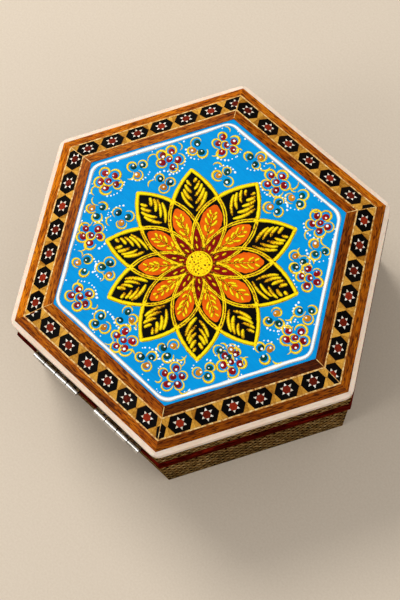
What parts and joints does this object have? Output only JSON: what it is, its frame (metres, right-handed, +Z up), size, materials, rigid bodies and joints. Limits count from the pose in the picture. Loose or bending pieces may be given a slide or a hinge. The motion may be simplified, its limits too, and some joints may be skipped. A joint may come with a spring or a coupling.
{
  "type": "inlaid wooden box",
  "caption": "Hexagonal wooden keepsake box with a hinged lid: inlaid, bevelled border, bone edge and a painted flower panel.",
  "frame": {"origin": "middle of the flat underside, on the hexagon's axis", "axes": "+Z up through the lid; +Y towards the hinged back side; +X to the right seen from the front"},
  "size_m": [0.1454, 0.1278, 0.0681],
  "materials": {
    "core_wood": "planed and thinly lacquered",
    "brown_wood": "orange-brown, glossy lacquer",
    "mahogany": "red-brown, glossy lacquer",
    "khatam": "black, red, white and ochre micro inlay, glossy lacquer",
    "side_khatam": "fine mottled micro inlay, satin lacquer",
    "stringing": "pale line inlay, glossy lacquer",
    "painted_wood": "painted and lacquered",
    "bone": "polished off-white bone",
    "nickel": "bright nickel plate",
    "velvet": "short velvet pile on card"
  },
  "bodies": {
    "base": {"base_bottom": "core_wood", "base_floor_card": "velvet", "hinge_nails_base": "nickel", "base_wall_back": "core_wood", "base_veneer_back": "side_khatam", "base_rim_back": "mahogany", "base_wall_back_left": "core_wood", "base_veneer_back_left": "side_khatam", "base_rim_back_left": "mahogany", "base_wall_front_left": "core_wood", "base_veneer_front_left": "side_khatam", "base_rim_front_left": "mahogany", "base_wall_front": "core_wood", "base_veneer_front": "side_khatam", "base_rim_front": "mahogany", "base_wall_front_right": "core_wood", "base_veneer_front_right": "side_khatam", "base_rim_front_right": "mahogany", "base_wall_back_right": "core_wood", "base_veneer_back_right": "side_khatam", "base_rim_back_right": "mahogany", "hinge_base_leaf_left": "nickel", "hinge_pin_left": "nickel", "hinge_base_leaf_right": "nickel", "hinge_pin_right": "nickel"},
    "lid": {"lid_board": "core_wood", "lid_card": "velvet", "lid_panel": "painted_wood", "lid_side_veneers": "side_khatam", "lid_inner_strips": "brown_wood", "lid_outer_stringing": "stringing", "lid_inner_stringing": "stringing", "hinge_nails_lid": "nickel", "lid_rail_back": "core_wood", "lid_bone_edge_back": "bone", "lid_outer_strip_back": "brown_wood", "lid_khatam_back": "khatam", "lid_rail_back_left": "core_wood", "lid_bone_edge_back_left": "bone", "lid_outer_strip_back_left": "brown_wood", "lid_khatam_back_left": "khatam", "lid_rail_front_left": "core_wood", "lid_bone_edge_front_left": "bone", "lid_outer_strip_front_left": "brown_wood", "lid_khatam_front_left": "khatam", "lid_rail_front": "core_wood", "lid_bone_edge_front": "bone", "lid_outer_strip_front": "brown_wood", "lid_khatam_front": "khatam", "lid_rail_front_right": "core_wood", "lid_bone_edge_front_right": "bone", "lid_outer_strip_front_right": "brown_wood", "lid_khatam_front_right": "khatam", "lid_rail_back_right": "core_wood", "lid_bone_edge_back_right": "bone", "lid_outer_strip_back_right": "brown_wood", "lid_khatam_back_right": "khatam", "hinge_lid_leaf_left": "nickel", "hinge_lid_leaf_right": "nickel"}
  },
  "joints": [
    {"name": "lid_hinge", "type": "hinge", "parent": "base", "child": "lid", "pos_m": [0, 0.06345, 0.04615], "axis": [-1, 0, 0], "range_deg": [0, 180]}
  ]
}
